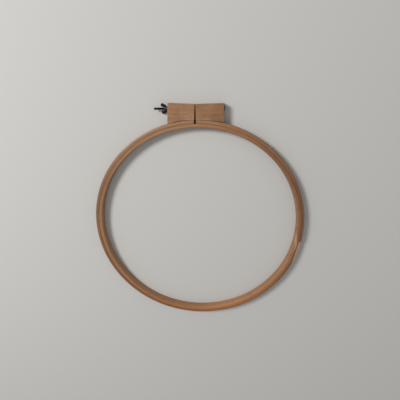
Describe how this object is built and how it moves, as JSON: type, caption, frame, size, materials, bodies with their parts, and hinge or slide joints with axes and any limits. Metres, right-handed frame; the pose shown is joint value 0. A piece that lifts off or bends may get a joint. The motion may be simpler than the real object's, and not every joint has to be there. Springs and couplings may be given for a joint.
{
  "type": "embroidery hoop",
  "caption": "Round wood embroidery hoop: a split outer ring is drawn tight round an inner ring by clamping blocks, a carriage bolt and a wing nut.",
  "frame": {"origin": "centre of the rings at half their depth", "axes": "+Z along the hoop's axis towards its front, +Y towards the clamping blocks, the bolt along X with the wing nut on the -X side and the domed head on the +X side"},
  "size_m": [0.4722, 0.5055, 0.0176],
  "materials": {
    "inner_ring_wood": "satin",
    "outer_ring_wood": "satin",
    "block_wood": "satin",
    "black_hardware": "black, satin",
    "nail_steel": "dull"
  },
  "bodies": {
    "outer_hoop": {"outer_ring": "outer_ring_wood", "left_block": "block_wood", "right_block": "block_wood", "carriage_bolt": "black_hardware", "block_nails": "nail_steel"},
    "inner_hoop": {"inner_ring": "inner_ring_wood"},
    "washer": {"flat_washer": "black_hardware"},
    "nut": {"wing_nut": "black_hardware"}
  },
  "joints": [
    {"name": "inner_ring_lift", "type": "slide", "parent": "outer_hoop", "child": "inner_hoop", "axis": [0, 0, 1], "range_m": [0, 0.03]},
    {"name": "washer_travel", "type": "slide", "parent": "outer_hoop", "child": "washer", "axis": [-1, 0, 0], "range_m": [0, 0.016]},
    {"name": "nut_spin", "type": "hinge", "parent": "washer", "child": "nut", "pos_m": [-0.05862, 0.25833, 0], "axis": [-1, 0, 0], "range_deg": [0, 5400]}
  ],
  "couplings": [
    {"joint": "washer_travel", "follows": "nut_spin", "m_per_rad": 0.00016844}
  ]
}
